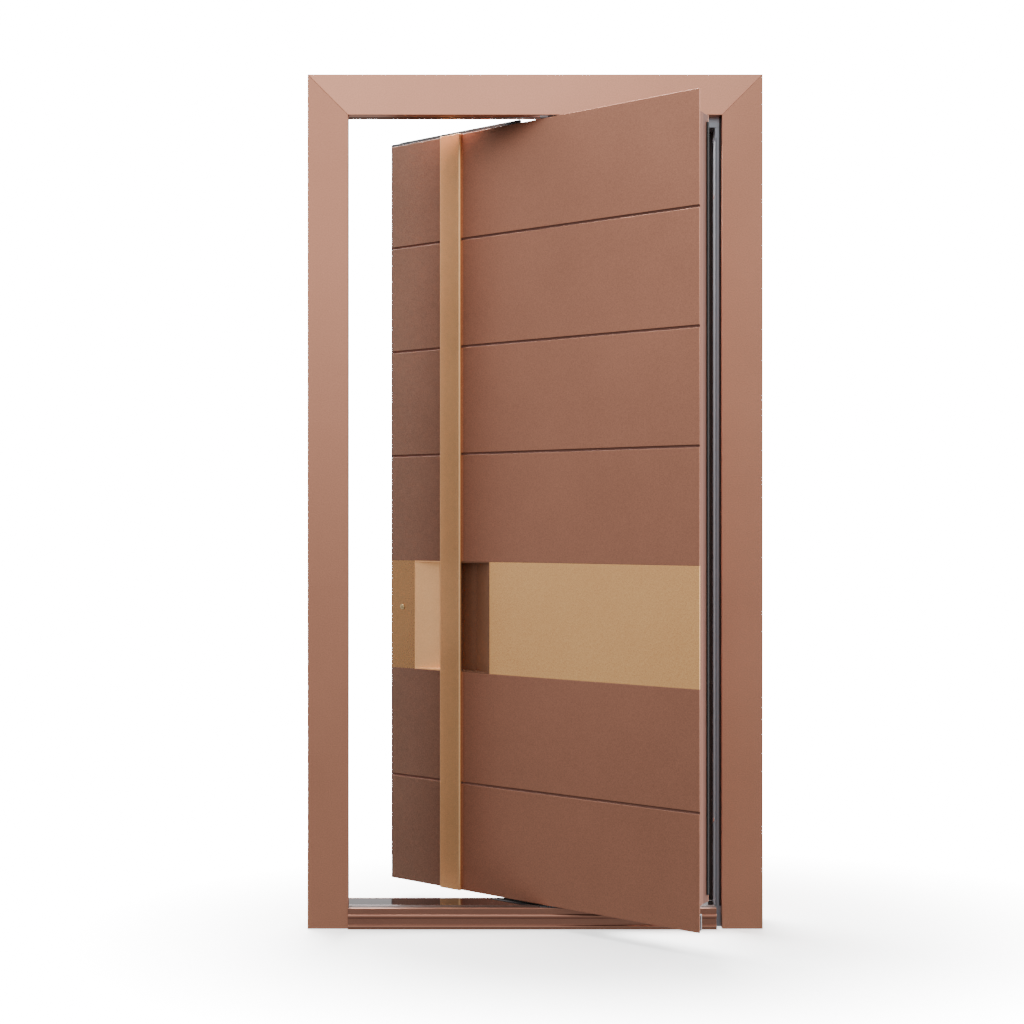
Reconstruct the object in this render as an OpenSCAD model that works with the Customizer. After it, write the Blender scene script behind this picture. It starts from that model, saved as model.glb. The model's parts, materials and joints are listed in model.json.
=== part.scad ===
// Aluminium pivot door: a clad leaf on an offset vertical pivot, in its frame.
// X runs to the right seen from outside, Y into the building, Z up.
// The frame's outer face is at y = 0 and its feet stand on z = 0.

/* [Frame] */
// Outer width of the frame
frame_w = 1300; // [1000:5:1800]
// Outer height of the frame
frame_h = 2440; // [2100:5:3000]
// Depth of the frame from the outer face to the inner trim
frame_d = 108; // [106:1:140]
// Width of the mitred outer casing on each side and over the head
casing_w = 116; // [70:1:180]
// Depth of the outer casing
casing_d = 26; // [22:1:34]
// Distance from the casing's edge back to the reveal of the handle jamb
handle_setback = 31; // [28:1:60]
// Distance from the casing's lower edge up to the head reveal
head_setback = 20; // [19:1:40]
// How far the pivot side stop stands into the opening
stop_w = 16.5; // [10:0.5:17]
// How far the head stop hangs below the casing
stop_drop = 29; // [12:1:32]
// Thickness of the inner trim
trim_t = 12; // [6:1:20]
// Radius of the anchor holes through the jambs
anchor_r = 4; // [3:0.5:7]
// Height of the lowest anchor holes
anchor_z = 300; // [150:10:500]
// Height between the low and the high anchor holes
anchor_rise = 1800; // [1000:50:1900]
// Distance between the front and rear anchor holes
anchor_gap = 36; // [24:1:48]

/* [Threshold] */
// Height of the threshold
sill_h = 60; // [45:1:80]
// How far the nose stands in front of the frame
nose_out = 10; // [6:0.5:16]
// Thickness of the plates on top of the threshold
plate_t = 8; // [4:0.5:12]
// Depth of the dark front strip, measured from the frame's face
strip_d = 30; // [29:1:34]
// Thickness of the rear edge profile
rear_t = 3; // [2:0.5:6]

/* [Leaf] */
// Opening angle of the leaf at rest
open_angle = 34.5; // [0:0.5:60]
// Running gap between the leaf's sheet and the casing at the sides
side_gap = 6.5; // [6:0.5:8]
// Gap above the leaf's sheet
top_gap = 6.5; // [6:0.5:12]
// Gap between the threshold and the leaf's sheet
sill_gap = 5.5; // [5.5:0.5:10]
// Thickness of the leaf
leaf_t = 100; // [84:1:101]
// Thickness of the outer and inner sheets
sheet_t = 4; // [3:0.5:5]
// Thickness of the dark backing behind the outer sheet
backing_t = 10; // [6:0.5:14]
// How far the core stops short of the sheet at the pivot edge
core_inset = 23; // [23:1:40]
// How far the core stops short of the sheet at the handle edge
handle_inset = 8; // [6:1:16]
// How far the pivot side core stays below the sheet's top
core_drop = 46; // [44:1:70]
// How far the core stays above the sheet's bottom
core_lift = 60; // [56:1:80]
// Width of the stile at the pivot edge
pivot_stile_w = 50; // [40:1:80]
// Width of the stile at the handle edge
handle_stile_w = 75; // [66:1:82]
// Height of the core's rails
rail_h = 60; // [40:1:90]

/* [Bands] */
// Height of the gold band above the sheet's bottom
gold_z = 649; // [560:1:720]
// Height of the gold band
gold_h = 329.5; // [260:0.5:340]
// Height of a band above the gold band
band_h = 320; // [280:1:322]
// Number of grooves above the gold band
upper_grooves = 3; // [1:1:3]
// Width of a groove
groove_w = 7; // [4:0.5:9]
// Depth of a groove
groove_d = 2.5; // [1:0.5:2.5]

/* [Pull bar and recess] */
// Distance from the handle edge to the middle of the bar
bar_from_edge = 229; // [210:1:300]
// Width of the pull bar
bar_w = 76; // [50:1:90]
// Thickness of the pull bar
bar_t = 9.5; // [7:0.5:14]
// Chamfer on the bar's outer edges
bar_chamfer = 3; // [1:0.5:4]
// Width of the hand recess at the leaf's face
recess_w = 273; // [240:1:280]
// Width of the recess floor
recess_floor_w = 140; // [110:1:180]
// Depth of the recess
recess_d = 32; // [26:1:40]
// Height of the ledges that close the recess
ledge_h = 4; // [3:0.5:8]
// Wall of the recess tray
tray_wall = 3; // [2:0.5:4]

/* [Rebate lip] */
// Distance from the leaf's face to the lip
lip_y = 33; // [31:1:40]
// Thickness of the lip
lip_t = 9; // [6:0.5:12]
// How far the lip stands beyond the sheet at the handle edge
lip_out = 30; // [20:1:30]
// How far the lip stands above the sheet
lip_up = 19; // [12:1:19]
// Length of the head lip, from the sheet's handle edge
lip_len = 454; // [300:1:460]
// Thickness of the profile that carries the lip
lip_leg_t = 4; // [3:0.5:6]

/* [Pivot] */
// Place of the pivot to the right of the frame's middle
pivot_x = 44; // [20:1:120]
// Depth of the pivot behind the outer face
pivot_y = 16; // [15.5:0.5:17]
// Diameter of the pivot pins
pin_d = 14; // [10:1:14]
// Radial clearance of the pins in their bearings
pin_fit = 0.05; // [0.02:0.01:0.1]
// How far a pin reaches into its bearing
pin_reach = 24; // [14:1:30]
// Length of the bearing blocks
bearing_l = 60; // [40:1:90]

/* [Lock and inside handle] */
// Distance from the handle edge to the lock cylinder
lock_from_edge = 42; // [30:1:60]
// Height of the lock cylinder above the sheet's bottom
lock_z = 836.5; // [740:0.5:900]
// Radius of the lock cylinder
lock_r = 8.5; // [6:0.5:14]
// How far the lock cylinder stands proud of the sheet
lock_out = 2.5; // [1:0.5:5]
// Length of the lock's face plate
faceplate_l = 260; // [180:5:400]
// Length of the inside handle
grip_l = 1200; // [400:10:1600]
// Width of the inside handle
grip_w = 40; // [25:1:60]
// Thickness of the inside handle
grip_t = 12; // [8:1:20]
// Free space behind the inside handle
grip_off = 42; // [35:1:60]

/* [Hidden] */
$fn = 64;

// Cutting tools run past the faces they cut by this much.
cut = 1;

// Frame
side_x = frame_w / 2;
open_x = side_x - casing_w;
soffit_z = frame_h - casing_w;
handle_reveal_x = -(open_x + handle_setback);
head_reveal_z = soffit_z + head_setback;
stop_x = open_x - stop_w;
stop_z = soffit_z - stop_drop;
head_stop_x = pivot_x - 6;
seal_w = 8;
seal_t = 2;
rebate_seal = 5;
sill_end_y = frame_d - rear_t;
rear_rise = 0.4;

// Leaf, in its closed position
leaf_x0 = -(open_x - side_gap);
leaf_x1 = open_x - side_gap;
leaf_z0 = sill_h + sill_gap;
leaf_z1 = soffit_z - top_gap;
gold_z0 = leaf_z0 + gold_z;
gold_z1 = gold_z0 + gold_h;
core_x0 = leaf_x0 + handle_inset;
core_x1 = leaf_x1 - core_inset;
core_z0 = leaf_z0 + core_lift;
core_y0 = sheet_t + backing_t;
core_y1 = leaf_t - sheet_t;
handle_top_z = leaf_z1 - lip_leg_t;
pivot_top_z = leaf_z1 - core_drop;
step_x = leaf_x0 + lip_len;
stile_x0 = core_x0 + handle_stile_w;
stile_x1 = core_x1 - pivot_stile_w;
bar_x = leaf_x0 + bar_from_edge;
recess_x0 = bar_x - recess_w / 2;
recess_x1 = bar_x + recess_w / 2;
tray_x1 = recess_x1 + tray_wall;
tray_y1 = recess_d + tray_wall;
backing_over = 4;
lock_x = leaf_x0 + lock_from_edge;
lock_mid_z = leaf_z0 + lock_z;

// Bottom rail, a hollow section that shows at the pivot edge
rail_wall = 2.5;
rail_d = 17;
rail_section_h = 45;
rail_z0 = leaf_z0 + 1.5;
rail_end = 4;

// Pivot hardware
bore_r = pin_d / 2 + pin_fit;
bearing_y0 = 6;
bearing_y1 = casing_d;
pivot_block_d = 24;
bearing_h = 40;
head_bearing_h = 30;
pivot_block_h = 14;

// Closed leaf turned about its pivot to its place at rest
module leaf_at_rest() {
    translate([pivot_x, pivot_y, 0])
        rotate([0, 0, -open_angle])
            translate([-pivot_x, -pivot_y, 0])
                children();
}

// Box given by its lowest and highest corners
module block(low, high) {
    translate(low) cube(high - low);
}

// Outline in X and Z, extruded in Y from y0 to y1
module upright(y0, y1) {
    translate([0, y1, 0]) rotate([90, 0, 0]) linear_extrude(y1 - y0) children();
}

// Outline in X and Y, extruded from z0 to z1
module standing(z0, z1) {
    translate([0, 0, z0]) linear_extrude(z1 - z0) children();
}

// Outline in Y and Z, extruded in X from x0 to x1
module lengthwise(x0, x1) {
    translate([x0, 0, 0]) rotate([90, 0, 90]) linear_extrude(x1 - x0) children();
}

// Two by two anchor holes through a jamb, along X
module anchor_holes() {
    for (y = [-anchor_gap / 2, anchor_gap / 2], z = [0, anchor_rise])
        translate([-side_x - cut, (casing_d + frame_d) / 2 + y, anchor_z + z])
            rotate([0, 90, 0]) cylinder(r = anchor_r, h = frame_w + 2 * cut);
}

// Mitred outer casing of one jamb
module side_casing() {
    color("#a67d69") upright(0, casing_d)
        polygon([[-side_x, 0], [-open_x, 0], [-open_x, soffit_z], [-side_x, frame_h]]);
}

module left_casing() { side_casing(); }
module right_casing() { mirror([1, 0, 0]) side_casing(); }

module head_casing() {
    color("#c3a08e") difference() {
        upright(0, casing_d)
            polygon([[-side_x, frame_h], [-open_x, soffit_z], [open_x, soffit_z], [side_x, frame_h]]);
        block([pivot_x - bearing_l / 2, bearing_y0, soffit_z - cut],
              [pivot_x + bearing_l / 2, bearing_y1 + cut, soffit_z + head_bearing_h]);
    }
}

module left_jamb() {
    color("#7d5544") difference() {
        block([-side_x, casing_d, 0], [handle_reveal_x, frame_d, frame_h]);
        anchor_holes();
    }
}

module right_jamb() {
    color("#7d5544") difference() {
        block([open_x, casing_d, 0], [side_x, frame_d, frame_h]);
        anchor_holes();
    }
}

module head_jamb() {
    color("#7d5544") difference() {
        block([handle_reveal_x, casing_d, head_reveal_z], [open_x, frame_d, frame_h]);
        block([pivot_x - bearing_l / 2, casing_d - cut, head_reveal_z - cut],
              [pivot_x + bearing_l / 2, bearing_y1, soffit_z + head_bearing_h]);
    }
}

module right_stop() {
    color("#9a9ca0") difference() {
        block([stop_x, casing_d, 0], [open_x, frame_d, stop_z]);
        anchor_holes();
    }
}

module head_stop() {
    color("#b8babe") block([head_stop_x, casing_d, stop_z], [open_x, frame_d, head_reveal_z]);
}

module left_inner_trim() {
    color("#7d5544") block([-side_x, frame_d, 0], [handle_reveal_x, frame_d + trim_t, frame_h]);
}

module right_inner_trim() {
    color("#7d5544") block([stop_x, frame_d, 0], [side_x, frame_d + trim_t, frame_h]);
}

module head_inner_trim() {
    color("#7d5544")
        block([handle_reveal_x, frame_d, head_reveal_z], [stop_x, frame_d + trim_t, frame_h]);
}

// Seal that the side lip closes towards
module left_seal() {
    seal_x = -(open_x + handle_setback / 2);
    color("#17181a")
        block([seal_x - seal_w / 2, casing_d, sill_h], [seal_x + seal_w / 2, casing_d + seal_t, soffit_z]);
}

// Seal that the head lip closes towards
module head_seal() {
    seal_z = soffit_z + head_setback / 2;
    color("#17181a")
        block([-open_x, casing_d, seal_z - seal_w / 2],
              [step_x, casing_d + seal_t, seal_z + seal_w / 2]);
}

// Dark seal in the corner between the pivot side casing and its stop
module right_seal() {
    color("#17181a")
        block([open_x - rebate_seal, casing_d - rebate_seal, sill_h], [open_x, casing_d, soffit_z]);
}

module strike_plate() {
    strike_w = 26;
    strike_y = (lip_y + lip_t + core_y1) / 2;
    color("#b9bcc0")
        block([handle_reveal_x, strike_y - strike_w / 2, lock_mid_z - faceplate_l / 2],
              [handle_reveal_x + 2, strike_y + strike_w / 2, lock_mid_z + faceplate_l / 2]);
}

// Pocket for the floor bearing
module floor_pocket() {
    block([pivot_x - bearing_l / 2, bearing_y0, sill_h - bearing_h],
          [pivot_x + bearing_l / 2, bearing_y1, sill_h + cut]);
}

// Plan of the threshold from y0 to y1: it widens behind the casing on the handle side
module sill_plan(y0, y1) {
    translate([-open_x, y0]) square([open_x + stop_x, y1 - y0]);
    if (y1 > casing_d)
        translate([handle_reveal_x, max(y0, casing_d)])
            square([stop_x - handle_reveal_x, y1 - max(y0, casing_d)]);
}

module threshold_base() {
    color("#5c4338") difference() {
        standing(0, sill_h - plate_t) sill_plan(sheet_t, sill_end_y);
        floor_pocket();
    }
}

// Stepped nose: upright top, a rounded bead, a recess and a foot
module threshold_nose() {
    bead_r = 6;
    bead_z = sill_h * 0.63;
    foot_h = 12;
    recess_y = bead_r - nose_out;
    color("#a67d69") lengthwise(-open_x, stop_x) union() {
        polygon([[sheet_t, 0], [2 - nose_out, 0], [-nose_out, foot_h / 2], [-nose_out, foot_h - 2],
                 [2 - nose_out, foot_h], [recess_y, foot_h], [recess_y, bead_z],
                 [recess_y - 2, bead_z], [recess_y - 2, sill_h], [sheet_t, sill_h]]);
        translate([recess_y + cut, bead_z - 0.5]) circle(r = bead_r + cut);
    }
}

module threshold_front_strip() {
    color("#3b2b25") difference() {
        standing(sill_h - plate_t, sill_h) sill_plan(sheet_t, strip_d);
        floor_pocket();
    }
}

module threshold_top_plate() {
    color("#30292a") standing(sill_h - plate_t, sill_h) sill_plan(strip_d, sill_end_y);
}

module threshold_rear_edge() {
    color("#8a5e4c") standing(0, sill_h + rear_rise) sill_plan(sill_end_y, frame_d);
}

// Steel block with a blind bore for the lower pin
module floor_bearing() {
    color("#8d9094") difference() {
        block([pivot_x - bearing_l / 2, bearing_y0, sill_h - bearing_h],
              [pivot_x + bearing_l / 2, bearing_y1, sill_h]);
        translate([pivot_x, pivot_y, sill_h - pin_reach - cut]) cylinder(r = bore_r, h = pin_reach + 2 * cut);
    }
}

// Steel block with a blind bore for the upper pin
module head_bearing() {
    color("#8d9094") difference() {
        block([pivot_x - bearing_l / 2, bearing_y0, soffit_z],
              [pivot_x + bearing_l / 2, bearing_y1, soffit_z + head_bearing_h]);
        translate([pivot_x, pivot_y, soffit_z - cut]) cylinder(r = bore_r, h = pin_reach + 2 * cut);
    }
}

// Horizontal groove across a sheet, on the face at y, cut towards dir
module groove(z, y, dir) {
    lengthwise(leaf_x0 - cut, leaf_x1 + cut)
        polygon([[y - dir * cut, z - groove_w / 2 - cut], [y + dir * groove_d, z - groove_w / 4],
                 [y + dir * groove_d, z + groove_w / 4], [y - dir * cut, z + groove_w / 2 + cut]]);
}

// Heights of the grooves above and below the gold band
upper_groove_z = [for (i = [1 : upper_grooves]) gold_z1 + i * band_h];
lower_groove_z = [gold_z0 - gold_h];

module upper_cladding() {
    color("#9f7660") leaf_at_rest() difference() {
        block([leaf_x0, 0, gold_z1], [leaf_x1, sheet_t, leaf_z1]);
        for (z = upper_groove_z) groove(z, 0, 1);
    }
}

module lower_cladding() {
    color("#8a6350") leaf_at_rest() difference() {
        block([leaf_x0, 0, leaf_z0], [leaf_x1, sheet_t, gold_z0]);
        for (z = lower_groove_z) groove(z, 0, 1);
    }
}

// Bore for the lock cylinder through the sheet and its backing
module lock_bore() {
    translate([lock_x, -cut, lock_mid_z]) rotate([-90, 0, 0]) cylinder(r = lock_r, h = core_y0 + 2 * cut);
}

module gold_sheet_handle_side() {
    color("#c49f7c") leaf_at_rest() difference() {
        block([leaf_x0, 0, gold_z0], [recess_x0, sheet_t, gold_z1]);
        lock_bore();
        standing(gold_z0 - cut, gold_z1 + cut) tray_outline();
    }
}

module gold_sheet_pivot_side() {
    color("#c49f7c") leaf_at_rest() difference() {
        block([recess_x1, 0, gold_z0], [leaf_x1, sheet_t, gold_z1]);
        standing(gold_z0 - cut, gold_z1 + cut) tray_outline();
    }
}

// Plan of the recess: sloping sides down to a flat floor, grown outwards by wall
module recess_plan(wall) {
    half_face = recess_w / 2 + wall;
    half_floor = recess_floor_w / 2 + wall;
    depth = recess_d + wall;
    translate([bar_x, 0]) polygon([[-half_face, 0], [half_face, 0], [half_floor, depth], [-half_floor, depth]]);
}

module tray_outline() { recess_plan(tray_wall); }

// Tray with sloping sides and closed ends
module grip_recess() {
    color("#a9825f") leaf_at_rest() difference() {
        standing(gold_z0, gold_z1) tray_outline();
        standing(gold_z0 + ledge_h, gold_z1 - ledge_h) {
            recess_plan(0);
            translate([recess_x0, -cut]) square([recess_w, cut + 0.01]);
        }
    }
}

// Flat bar over the full height, with chamfered outer edges
module pull_bar() {
    half = bar_w / 2;
    color("#b58c6c") leaf_at_rest() standing(leaf_z0, leaf_z1)
        translate([bar_x, 0])
            polygon([[-half, 0], [-half, bar_chamfer - bar_t], [bar_chamfer - half, -bar_t],
                     [half - bar_chamfer, -bar_t], [half, bar_chamfer - bar_t], [half, 0]]);
}

module lock_cylinder() {
    color("#b9a184") leaf_at_rest()
        translate([lock_x, -lock_out, lock_mid_z]) rotate([-90, 0, 0])
            cylinder(r = lock_r, h = core_y0 + lock_out);
}

module lock_faceplate() {
    plate_w = 24;
    plate_y = (lip_y + lip_t + core_y1) / 2;
    color("#b9bcc0") leaf_at_rest()
        block([core_x0 - lip_leg_t - 2, plate_y - plate_w / 2, lock_mid_z - faceplate_l / 2],
              [core_x0 - lip_leg_t, plate_y + plate_w / 2, lock_mid_z + faceplate_l / 2]);
}

// Outline in X and Z of what fills the leaf above z0: higher on the handle side
module stepped_outline(x0, x1, z0, handle_z, pivot_z) {
    polygon([[x0, z0], [x1, z0], [x1, pivot_z], [step_x, pivot_z], [step_x, handle_z], [x0, handle_z]]);
}

module upper_backing() {
    color("#201c1b") leaf_at_rest() upright(sheet_t, core_y0)
        stepped_outline(core_x0, core_x1 + backing_over, gold_z1, handle_top_z, pivot_top_z);
}

module lower_backing() {
    color("#201c1b") leaf_at_rest()
        block([core_x0, sheet_t, core_z0], [core_x1 + backing_over, core_y0, gold_z0]);
}

module middle_backing() {
    color("#201c1b") leaf_at_rest()
        block([tray_x1, sheet_t, gold_z0], [core_x1 + backing_over, core_y0, gold_z1]);
}

module lock_backing() {
    color("#201c1b") leaf_at_rest() difference() {
        block([core_x0, sheet_t, gold_z0], [recess_x0 - tray_wall, core_y0, gold_z1]);
        lock_bore();
    }
}

module handle_stile() {
    color("#7d5544") leaf_at_rest()
        block([core_x0, core_y0, core_z0], [stile_x0, core_y1, handle_top_z]);
}

module pivot_stile() {
    color("#7d5544") leaf_at_rest()
        block([stile_x1, core_y0, core_z0], [core_x1, core_y1, pivot_top_z]);
}

module top_rail_handle_side() {
    color("#7d5544") leaf_at_rest()
        block([stile_x0, core_y0, handle_top_z - rail_h], [step_x, core_y1, handle_top_z]);
}

module top_rail_pivot_side() {
    color("#7d5544") leaf_at_rest()
        block([step_x, core_y0, pivot_top_z - rail_h], [stile_x1, core_y1, pivot_top_z]);
}

module low_rail() {
    color("#7d5544") leaf_at_rest()
        block([stile_x0, core_y0, core_z0], [stile_x1, core_y1, core_z0 + rail_h]);
}

module upper_core() {
    color("#d9c9a0") leaf_at_rest() upright(core_y0, core_y1)
        stepped_outline(stile_x0, stile_x1, gold_z1, handle_top_z - rail_h, pivot_top_z - rail_h);
}

module lower_core() {
    color("#d9c9a0") leaf_at_rest()
        block([stile_x0, core_y0, core_z0 + rail_h], [stile_x1, core_y1, gold_z0]);
}

module middle_core() {
    color("#d9c9a0") leaf_at_rest()
        block([tray_x1, core_y0, gold_z0], [stile_x1, tray_y1, gold_z1]);
}

module recess_core() {
    color("#d9c9a0") leaf_at_rest()
        block([stile_x0, tray_y1, gold_z0], [stile_x1, core_y1, gold_z1]);
}

// Angle profile along the handle edge, with the lip that closes behind the casing
module side_lip() {
    color("#2d2f31") leaf_at_rest() {
        block([core_x0 - lip_leg_t, core_y0, core_z0], [core_x0, core_y1, handle_top_z]);
        block([leaf_x0 - lip_out, lip_y, core_z0], [core_x0 - lip_leg_t, lip_y + lip_t, leaf_z1 + lip_up]);
    }
}

// Angle profile along the top of the handle side
module head_lip() {
    lip_x = core_x0 - lip_leg_t;
    color("#2d2f31") leaf_at_rest() {
        block([lip_x, core_y0, handle_top_z], [step_x, core_y1, leaf_z1]);
        block([lip_x, lip_y, leaf_z1], [step_x, lip_y + lip_t, leaf_z1 + lip_up]);
    }
}

// Hollow rail behind the foot of the outer sheet, in two lengths that meet the lower pivot block
module bottom_rail() {
    color("#c9ccd2") leaf_at_rest()
        for (x = [[core_x0, pivot_x - bearing_l / 2], [pivot_x + bearing_l / 2, leaf_x1 - rail_end]])
            lengthwise(x[0], x[1]) difference() {
                translate([sheet_t, rail_z0]) square([rail_d, rail_section_h]);
                translate([sheet_t + rail_wall, rail_z0 + rail_wall])
                    square([rail_d - 2 * rail_wall, rail_section_h - 2 * rail_wall]);
            }
}

// Seal housing under the core, short of the pivot edge
module drop_seal() {
    color("#26282a") leaf_at_rest()
        block([core_x0, sheet_t + pivot_block_d + 4, leaf_z0 + 4], [stile_x1 - 60, core_y1 - 16, core_z0]);
}

module inner_cladding() {
    color("#8a6350") leaf_at_rest() difference() {
        upright(core_y1, leaf_t) stepped_outline(core_x0, core_x1, core_z0, handle_top_z, pivot_top_z);
        for (z = concat(upper_groove_z, lower_groove_z, [gold_z0, gold_z1])) groove(z, leaf_t, -1);
    }
}

// Block under the core, with the pin that turns in the floor bearing
module bottom_pivot() {
    color("#8d9094") leaf_at_rest() {
        block([pivot_x - bearing_l / 2, sheet_t, rail_z0],
              [pivot_x + bearing_l / 2, sheet_t + pivot_block_d, core_z0]);
        translate([pivot_x, pivot_y, sill_h - pin_reach])
            cylinder(d = pin_d, h = pin_reach + rail_z0 - sill_h + cut);
    }
}

// Block on top of the core, with the pin that turns in the head bearing
module top_pivot() {
    color("#8d9094") leaf_at_rest() {
        block([pivot_x - bearing_l / 2, sheet_t, pivot_top_z],
              [pivot_x + bearing_l / 2, sheet_t + pivot_block_d, pivot_top_z + pivot_block_h]);
        translate([pivot_x, pivot_y, pivot_top_z + pivot_block_h - cut])
            cylinder(d = pin_d, h = soffit_z + pin_reach - pivot_top_z - pivot_block_h + cut);
    }
}

grip_y = leaf_t + grip_off;
grip_mid_z = lock_mid_z + 100;

module inside_handle() {
    color("#b58c6c") leaf_at_rest()
        block([bar_x - grip_w / 2, grip_y, grip_mid_z - grip_l / 2],
              [bar_x + grip_w / 2, grip_y + grip_t, grip_mid_z + grip_l / 2]);
}

module inside_handle_posts() {
    post_from_end = 150;
    color("#b9bcc0") leaf_at_rest()
        for (z = [-1, 1] * (grip_l / 2 - post_from_end))
            translate([bar_x, leaf_t, grip_mid_z + z]) rotate([-90, 0, 0]) cylinder(r = 9, h = grip_off);
}

left_casing();
right_casing();
head_casing();
left_jamb();
right_jamb();
head_jamb();
right_stop();
head_stop();
left_inner_trim();
right_inner_trim();
head_inner_trim();
left_seal();
right_seal();
head_seal();
strike_plate();
threshold_base();
threshold_nose();
threshold_front_strip();
threshold_top_plate();
threshold_rear_edge();
floor_bearing();
head_bearing();
upper_cladding();
lower_cladding();
gold_sheet_handle_side();
gold_sheet_pivot_side();
grip_recess();
pull_bar();
lock_cylinder();
lock_faceplate();
upper_backing();
lower_backing();
middle_backing();
lock_backing();
handle_stile();
pivot_stile();
top_rail_handle_side();
top_rail_pivot_side();
low_rail();
upper_core();
lower_core();
middle_core();
recess_core();
side_lip();
head_lip();
bottom_rail();
drop_seal();
inner_cladding();
bottom_pivot();
top_pivot();
inside_handle();
inside_handle_posts();
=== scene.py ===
"""Looks of the aluminium pivot door: finishes, small fittings, studio and camera.

Lengths are in metres. The leaf's own pieces are laid out in its closed position
and then turned about the pivot to their place at rest.
"""

from __future__ import annotations

import json
import logging
from dataclasses import dataclass, field
from enum import Enum
from math import radians
from typing import Callable, Iterable, Sequence

import bmesh
import bpy
from mathutils import Matrix, Vector

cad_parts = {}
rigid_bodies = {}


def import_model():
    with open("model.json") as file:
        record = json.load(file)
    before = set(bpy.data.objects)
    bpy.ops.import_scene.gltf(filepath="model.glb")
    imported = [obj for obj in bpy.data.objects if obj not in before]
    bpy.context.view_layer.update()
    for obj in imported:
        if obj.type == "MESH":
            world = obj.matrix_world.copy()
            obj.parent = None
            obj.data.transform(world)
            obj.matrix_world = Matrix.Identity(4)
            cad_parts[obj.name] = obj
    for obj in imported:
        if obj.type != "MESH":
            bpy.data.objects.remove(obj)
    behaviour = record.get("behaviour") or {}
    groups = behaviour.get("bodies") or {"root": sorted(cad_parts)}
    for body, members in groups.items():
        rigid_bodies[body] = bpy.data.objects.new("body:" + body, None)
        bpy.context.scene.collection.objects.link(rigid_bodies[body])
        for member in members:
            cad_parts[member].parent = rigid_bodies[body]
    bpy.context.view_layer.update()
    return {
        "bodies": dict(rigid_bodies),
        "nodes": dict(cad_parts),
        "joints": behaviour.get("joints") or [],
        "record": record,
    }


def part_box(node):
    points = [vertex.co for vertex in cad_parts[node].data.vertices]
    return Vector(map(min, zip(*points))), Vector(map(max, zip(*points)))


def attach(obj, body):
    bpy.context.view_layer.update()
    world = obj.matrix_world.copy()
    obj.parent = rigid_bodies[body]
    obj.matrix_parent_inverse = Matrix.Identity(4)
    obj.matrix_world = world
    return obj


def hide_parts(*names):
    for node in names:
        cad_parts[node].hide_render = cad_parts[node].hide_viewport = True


LOG = logging.getLogger("door")
MM = 0.001

CLOUDS_PER_METRE = 3.5
GRAIN_SHARE = 0.72
GLOSS_SPREAD = 0.12
RELIEF_DEPTH = 0.4 * MM
SHARP_ANGLE = radians(20)
BLACK_EASE = 0.1 * MM
SCREW_RADIUS = 4 * MM
SCREW_HEIGHT = 0.8 * MM
SOCKET_DEPTH = 0.5 * MM
SOCKET_INSET = 0.45
DISC_SIDES = 32
RIM_SHARE = 0.3

Triple = tuple[float, float, float]


class Body(Enum):
    """The two bodies of the door."""

    FRAME = "frame"
    LEAF = "leaf"


class Grain(Enum):
    """How a finish varies over its surface."""

    SATIN = "satin"
    BRUSHED = "brushed"
    RUBBER = "rubber"
    FOAM = "foam"
    POLISHED = "polished"


def linear(channel: int) -> float:
    """Return one display channel, 0 to 255, as a linear value."""
    value = channel / 255
    return value / 12.92 if value <= 0.04045 else ((value + 0.055) / 1.055) ** 2.4


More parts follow.
